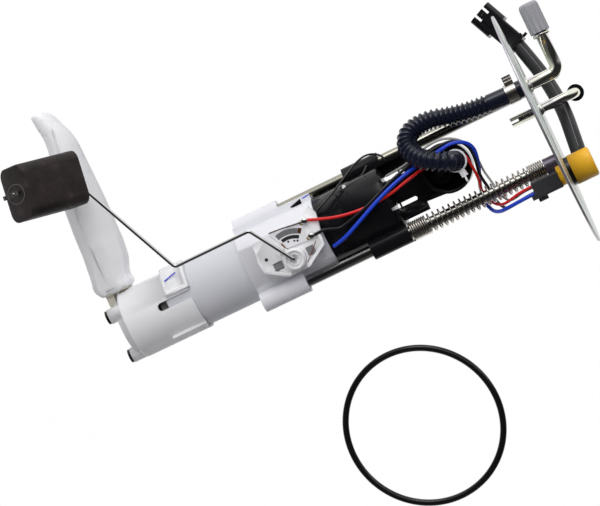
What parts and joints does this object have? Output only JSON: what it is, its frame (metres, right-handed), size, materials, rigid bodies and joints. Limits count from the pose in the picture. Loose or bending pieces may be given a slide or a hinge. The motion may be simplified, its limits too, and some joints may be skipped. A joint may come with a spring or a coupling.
{
  "type": "fuel pump module",
  "caption": "In-tank fuel pump module: round steel flange with tubes and lead, two guide rods, spring-loaded pump in a reservoir, strainer sock, level sender with float arm, seal ring.",
  "frame": {"origin": "centre of the flange, in the plane of the rim's underside, the face that seals on the tank", "axes": "+Z out of the tank, along the guide rods; the supply tube's end and the strainer point to -X; the sender's face looks towards -Y"},
  "size_m": [0.3353, 0.155, 0.3479],
  "materials": {
    "zinc_steel": "zinc plate, yellow and pink passivation",
    "plated_tube": "bright zinc plate with a yellow tint",
    "rod_steel": "ground and zinc plated",
    "spring_steel": "bright spring wire and pressed steel",
    "dark_plastic": "dark sleeve with a violet cast",
    "yellow_plastic": "moulded acetal",
    "grey_plastic": "glass-filled nylon",
    "black_plastic": "moulded acetal, glossy",
    "sheath_plastic": "extruded sheath",
    "clear_plastic": "natural nylon tab, half clear",
    "black_rubber": "nitrile rubber",
    "hose_plastic": "blue-black corrugated nylon",
    "brass_terminal": "tinned brass",
    "blue_insulation": "extruded insulation",
    "red_insulation": "extruded insulation",
    "black_insulation": "extruded insulation",
    "white_insulation": "extruded insulation",
    "white_nylon": "moulded acetal, satin",
    "pale_plastic": "moulded acetal, satin, a little grey",
    "beige_plastic": "natural nylon",
    "felt": "white needled nylon felt",
    "pump_can": "drawn zinc-plated steel",
    "pump_casting": "die-cast",
    "magnet": "ferrite",
    "carbon": "sintered carbon",
    "ceramic": "alumina card with a printed resistor",
    "solder": "soft solder",
    "copper": "beryllium copper leaf",
    "nitrile_foam": "closed-cell foam, dark brown",
    "laminated_steel": "laminated core and copper commutator",
    "grey_cap": "soft polyethylene"
  },
  "bodies": {
    "flange": {"flange_plate": "zinc_steel", "supply_tube": "plated_tube", "return_tube": "plated_tube", "guide_rod_front": "rod_steel", "guide_rod_rear": "rod_steel", "rod_spacer": "dark_plastic", "rod_retainers": "spring_steel", "coil_spring": "spring_steel", "pass_through": "yellow_plastic", "pass_through_gasket": "black_rubber", "harness_plug": "grey_plastic", "lead_sheath": "sheath_plastic", "lead_connector": "black_plastic", "connector_lock": "clear_plastic", "connector_terminals": "brass_terminal", "tank_seal_ring": "black_rubber", "outlet_hose": "hose_plastic", "hose_clamp": "spring_steel", "wire_blue": "blue_insulation", "wire_red": "red_insulation", "wire_black": "black_insulation", "wire_white": "white_insulation"},
    "carriage": {"cable_tie": "white_nylon", "pump_bracket": "black_plastic", "pressure_regulator": "spring_steel", "outlet_port": "black_plastic", "pump_shell": "pump_can", "pump_outlet_cap": "black_plastic", "pump_impeller_housing": "pump_casting", "pump_inlet_cover": "pump_casting", "pump_magnets": "magnet", "carbon_brushes": "carbon", "reservoir": "pale_plastic", "reservoir_cup": "pale_plastic", "foot_pads": "black_rubber", "strainer_neck": "beige_plastic", "strainer_sock": "felt", "sender_collar": "white_nylon", "sender_base": "white_nylon", "resistor_card": "ceramic", "sender_terminals": "solder"},
    "float_arm": {"sender_rotor": "white_nylon", "wiper_contact": "copper", "float_arm_wire": "spring_steel", "float_clip": "spring_steel"},
    "float": {"float": "nitrile_foam"},
    "pump_rotor": {"pump_armature": "laminated_steel", "pump_impeller": "black_plastic"},
    "check_valve": {"check_valve": "brass_terminal"},
    "supply_cap": {"supply_tube_cap": "grey_cap"},
    "return_cap": {"return_tube_cap": "black_plastic"}
  },
  "joints": [
    {"name": "carriage_slide", "type": "slide", "parent": "flange", "child": "carriage", "axis": [0, 0, 1], "range_m": [0, 0.03], "stiffness_N_per_m": 250, "springref_m": -0.04, "deforming": ["coil_spring", "outlet_hose", "wire_blue", "wire_red", "wire_black", "wire_white"]},
    {"name": "float_arm_swing", "type": "hinge", "parent": "carriage", "child": "float_arm", "pos_m": [0.0059, 0, -0.1725], "axis": [0, 1, 0], "range_deg": [0, 72]},
    {"name": "float_turn", "type": "hinge", "parent": "float_arm", "child": "float", "pos_m": [-0.099, -0.0362, -0.2766], "axis": [-0.1203, -0.702, -0.702], "continuous": true},
    {"name": "pump_spin", "type": "hinge", "parent": "carriage", "child": "pump_rotor", "pos_m": [-0.001, 0, -0.2], "axis": [0, 0, 1], "continuous": true},
    {"name": "check_valve_lift", "type": "slide", "parent": "carriage", "child": "check_valve", "axis": [0, 0, 1], "range_m": [0, 0.0015]},
    {"name": "supply_cap_pull", "type": "slide", "parent": "flange", "child": "supply_cap", "axis": [-1, 0, 0], "range_m": [0, 0.045]},
    {"name": "return_cap_pull", "type": "slide", "parent": "flange", "child": "return_cap", "axis": [0, 1, 0], "range_m": [0, 0.035]}
  ]
}
